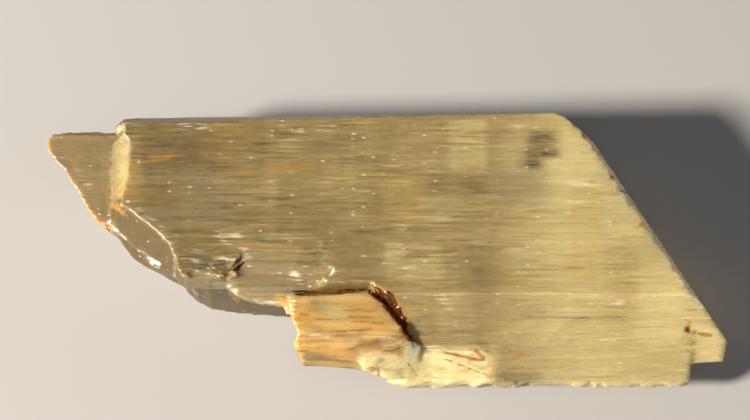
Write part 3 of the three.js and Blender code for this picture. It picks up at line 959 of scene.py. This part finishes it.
# noises in the stone: fineness along X, Y and Z, detail, roughness and place
noises = {
    "longStreaks": ((90, 2100, 2100), 2, 0.5, (0, 0, 0)),
    "dashes": ((260, 3100, 3100), 2, 0.5, (3, 1, 2)),
    "shortDashes": ((950, 5600, 5600), 1, 0.5, (7, 5, 1)),
    "darkLines": ((210, 4600, 4600), 0, 0.5, (9, 2, 6)),
    "brightLines": ((300, 4200, 4200), 0, 0.5, (4, 7, 3)),
    "clouds": ((130, 260, 260), 2, 0.5, (1, 4, 9)),
    "grit": ((1800, 2200, 2200), 4, 0.6, (5, 3, 3)),
    "mottle": ((420, 1250, 1250), 3, 0.6, (8, 6, 2)),
}
cells = {
    "blocks": ((160, 230, 40), "CHEBYCHEV", (2, 3, 0.5)),
    "specks": ((1100, 3000, 3000), "EUCLIDEAN", (5, 2, 2)),
}

# how bright the body is from the left end to the right
bandStops = [
    (0.0, 0.3),
    (0.12, 0.25),
    (0.36, 0.37),
    (0.5, 0.4),
    (0.62, 0.49),
    (0.7, 0.44),
    (0.86, 0.92),
    (1.0, 0.8),
]

# how strongly each noise or mask moves what it is added to
swings = {
    "longStreaks": 0.24,
    "dashes": 0.3,
    "shortDashes": 0.38,
    "clouds": 0.35,
    "blocks": 0.12,
    "liftAndPaintedLight": 1.0,
    "mottle": 1.0,
    "stainCrumbs": 0.9,
    "stainMottle": 0.9,
    "deepGrit": 0.5,
}

# ranges of a value and what they become: from, from, to, to
ranges = {
    "along": (-0.0305, 0.0305, 0.0, 1.0),  # from the left end to the right
    "darkLines": (0.58, 0.72, 0.0, -0.3),
    "brightLines": (0.6, 0.74, 0.0, 0.3),
    "lined": (0.38, 0.62, 0.35, 1.0),
    "smoothGrain": (0.0, 1.0, 0.45, 1.0),
    "rightGrain": (0.55, 0.8, 0.95, 0.66),
    "brightGrain": (0.5, 1.0, 1.0, 0.3),
    "honeyMottle": (0.1, 0.6, 0.12, 1.1),
    "honeyShare": (0.35, 0.6, 0.4, 1.25),
    "glassyShare": (0.36, 0.58, 0.62, 1.0),
    "darkShare": (0.36, 0.56, 0.35, 0.95),
    "speckReach": (0.26, 0.1, 0.0, 1.0),
    "speckKind": (0.76, 1.0, 0.0, 1.0),
    "paleShare": (0.46, 0.62, 0.0, 0.95),
    "stain": (0.36, 0.76, 0.0, 0.95),
    "stainEdge": (0.03, 0.3, 0.0, 1.0),
    "deepStain": (0.9, 1.05, 0.0, 1.0),
    "rough": (0.3, 0.7, 0.2, 0.34),
    "oliveRough": (0.0, 1.0, 0.2, -0.05),
    "grainBump": (0.0, 1.0, 0.1, 0.3),
}


def colorAttribute(tree, name):
    node = tree.nodes.new("ShaderNodeVertexColor")
    node.layer_name = name
    split = tree.nodes.new("ShaderNodeSeparateColor")
    tree.links.new(node.outputs["Color"], split.inputs[0])
    return split.outputs[0], split.outputs[1], split.outputs[2], node.outputs["Alpha"]


def bumpOf(tree, strength, height, depth):
    node = tree.nodes.new("ShaderNodeBump")
    node.inputs["Distance"].default_value = depth * mm
    feed(tree, node.inputs["Strength"], strength)
    feed(tree, node.inputs["Height"], height)
    return node


def makeSpodumene():
    material = bpy.data.materials.new("spodumene")
    material.use_nodes = True
    tree = material.node_tree
    tree.nodes.clear()
    place = tree.nodes.new("ShaderNodeTexCoord").outputs["Object"]
    haze, iron, paleAndPaintedHighlight, dark = colorAttribute(tree, "marks")
    glassyAndPaintedLight, honey, clear, oliveAndShade = colorAttribute(tree, "tints")
    liftAndPaintedLight, amber, grey, bevel = colorAttribute(tree, "tones")

    def scaled(value, amount):
        return mathOf(tree, "MULTIPLY", value, amount)

    def inRange(name, value):
        return rangeOf(tree, value, *ranges[name])

    def swung(name, value):
        return swing(tree, value, swings[name])

    # dashes of every length along X, with clouds, blocks and cross bands behind them
    found = {name: noiseOf(tree, place, *values) for name, values in noises.items()}
    dashes, shortDashes, mottle = found["dashes"], found["shortDashes"], found["mottle"]
    blockShade = cellsOf(tree, place, *cells["blocks"])[1]
    speckReach, speckKind = cellsOf(tree, place, *cells["specks"])
    split = tree.nodes.new("ShaderNodeSeparateXYZ")
    tree.links.new(place, split.inputs[0])
    alongShare = inRange("along", split.outputs[0])
    bands = rampOf(tree, alongShare, [(stop, (level, level, level, 1)) for stop, level in bandStops])
    lined = inRange("lined", found["clouds"])
    darkMarks = scaled(inRange("darkLines", found["darkLines"]), lined)
    brightMarks = scaled(inRange("brightLines", found["brightLines"]), lined)
    streaks = [swung(name, found[name]) for name in ("longStreaks", "dashes", "shortDashes")]
    grain = sumOf(tree, *streaks, darkMarks, brightMarks)
    calm = mathOf(tree, "MAXIMUM", clear, oliveAndShade)
    calm = mathOf(tree, "MAXIMUM", calm, scaled(honey, spodumene["honeyCalm"]))
    smooth = mathOf(tree, "SUBTRACT", 1.0, calm, True)
    for name, value in (("smoothGrain", smooth), ("rightGrain", alongShare), ("brightGrain", glassyAndPaintedLight)):
        grain = scaled(grain, inRange(name, value))
    behind = sumOf(tree, bands, swung("clouds", found["clouds"]), swung("blocks", blockShade))
    # painted light and shade, with tone, from the lighter and darker blocks
    behind = sumOf(tree, behind, swung("liftAndPaintedLight", liftAndPaintedLight))
    behind = sumOf(tree, behind, scaled(swung("mottle", mottle), inRange("honeyMottle", honey)))
    tone = mathOf(tree, "ADD", behind, grain, True)
    color = rampOf(tree, tone, [
        (0.0, spodumene["shadeColor"]),
        (0.5, spodumene["bodyColor"]),
        (1.0, spodumene["brightColor"]),
    ])

    # zones and marks laid over one another, with painted light, painted shade, painted highlights and painted
    # glints among them
    crumbs = sumOf(tree, scaled(shortDashes, 0.5), scaled(dashes, 0.5))
    # pale flecks and painted glints: white specks that stand in for sparkles of light on small facets
    flecksAndPaintedGlints = scaled(inRange("speckReach", speckReach), inRange("speckKind", speckKind))
    paleShare = scaled(paleAndPaintedHighlight, inRange("paleShare", crumbs))
    # painted highlight along the bevel
    paleShare = mathOf(tree, "MAXIMUM", paleShare, scaled(bevel, spodumene["bevel"]))
    stain = sumOf(tree, iron, swung("stainCrumbs", crumbs), swung("stainMottle", mottle))
    deepShare = inRange("deepStain", sumOf(tree, iron, swung("deepGrit", found["grit"])))
    for share, name in (
        (amber, "amberColor"),
        (grey, "greyColor"),
        (scaled(oliveAndShade, spodumene["oliveAndShade"]), "oliveColor"),
        (scaled(clear, spodumene["clear"]), "clearColor"),
        (scaled(honey, inRange("honeyShare", mottle)), "honeyColor"),
        (scaled(glassyAndPaintedLight, inRange("glassyShare", mottle)), "glassyColor"),
        (mathOf(tree, "MULTIPLY", dark, inRange("darkShare", crumbs), True), "veilColor"),
        (mathOf(tree, "MAXIMUM", flecksAndPaintedGlints, paleShare), "fleckColor"),
        (scaled(inRange("stain", stain), inRange("stainEdge", iron)), "ironColor"),
        (deepShare, "deepIronColor"),
    ):
        color = blendOf(tree, share, color, spodumene[name])

    rough = sumOf(
        tree,
        inRange("rough", dashes),
        scaled(haze, spodumene["hazeRough"]),
        scaled(iron, spodumene["ironRough"]),
        scaled(oliveAndShade, inRange("oliveRough", haze)),
        scaled(deepShare, spodumene["deepRough"]),
    )
    rough = mathOf(tree, "MAXIMUM", rough, spodumene["leastRough"])

    ridges = sumOf(tree, scaled(shortDashes, 0.5), dashes, brightMarks, darkMarks)
    grainBump = bumpOf(tree, inRange("grainBump", smooth), ridges, spodumene["grainDepth"])
    hackleBump = bumpOf(tree, haze, found["grit"], spodumene["hackleDepth"])
    feed(tree, hackleBump.inputs["Normal"], grainBump.outputs[0])

    shader = tree.nodes.new("ShaderNodeBsdfPrincipled")
    feed(tree, shader.inputs["Base Color"], color)
    feed(tree, shader.inputs["Roughness"], rough)
    feed(tree, shader.inputs["Normal"], hackleBump.outputs[0])
    shader.inputs["IOR"].default_value = spodumene["ior"]
    shader.inputs["Specular IOR Level"].default_value = spodumene["shine"]
    shader.inputs["Transmission Weight"].default_value = spodumene["transmission"]
    shader.inputs["Subsurface Weight"].default_value = 1.0
    shader.inputs["Subsurface Radius"].default_value = spodumene["glowRadius"]
    shader.inputs["Subsurface Scale"].default_value = spodumene["glowScale"] * mm
    absorb = tree.nodes.new("ShaderNodeVolumeAbsorption")
    absorb.inputs["Color"].default_value = spodumene["absorption"]
    absorb.inputs["Density"].default_value = spodumene["density"]
    output = tree.nodes.new("ShaderNodeOutputMaterial")
    tree.links.new(shader.outputs[0], output.inputs["Surface"])
    tree.links.new(absorb.outputs[0], output.inputs["Volume"])
    return material


crystal = makeCrystal()
crystal.data.materials.append(makeSpodumene())
print("crystal ready")

studio = {
    "floorColor": (0.275, 0.268, 0.262, 1),
    "floorDrop": 0.02,
    "floorRoughness": 0.85,
    "floorSize": 3.0,
    "worldColor": (0.9, 0.94, 1.0, 1),
    "worldStrength": 0.16,
    "keyFrom": (-0.774, -0.297, 0.559),
    "keyDistance": 0.6,
    "keySize": 0.09,
    "keyPower": 13.0,
    "keyColor": (1.0, 0.92, 0.82),
    "fillFrom": (0.15, -0.35, 0.9),
    "fillDistance": 0.7,
    "fillSize": 0.5,
    "fillPower": 0.8,
    "fillColor": (0.93, 0.96, 1.0),
}


def makeLight(name):
    data = bpy.data.lights.new(name + "Light", "AREA")
    data.shape = "DISK"
    data.size = studio[name + "Size"]
    data.energy = studio[name + "Power"]
    data.color = studio[name + "Color"]
    light = bpy.data.objects.new(name + "Light", data)
    scene.collection.objects.link(light)
    direction = Vector(studio[name + "From"]).normalized()
    light.location = direction * studio[name + "Distance"]
    light.rotation_mode = "QUATERNION"
    light.rotation_quaternion = (-direction).to_track_quat("-Z", "Y")


def makeStudio():
    mesh = bmesh.new()
    bmesh.ops.create_grid(mesh, x_segments=1, y_segments=1, size=studio["floorSize"] / 2)
    bmesh.ops.translate(mesh, verts=mesh.verts, vec=(0, 0, -studio["floorDrop"] * mm))
    data = bpy.data.meshes.new("floor")
    mesh.to_mesh(data)
    mesh.free()
    floor = bpy.data.objects.new("floor", data)
    scene.collection.objects.link(floor)
    material = bpy.data.materials.new("palePaper")
    material.use_nodes = True
    shader = material.node_tree.nodes["Principled BSDF"]
    shader.inputs["Base Color"].default_value = studio["floorColor"]
    shader.inputs["Roughness"].default_value = studio["floorRoughness"]
    data.materials.append(material)
    makeLight("key")
    makeLight("fill")
    world = bpy.data.worlds.new("softSky")
    world.use_nodes = True
    background = world.node_tree.nodes["Background"]
    background.inputs["Color"].default_value = studio["worldColor"]
    background.inputs["Strength"].default_value = studio["worldStrength"]
    scene.world = world
    scene.view_settings.view_transform = "Standard"


makeStudio()
print("studio ready")
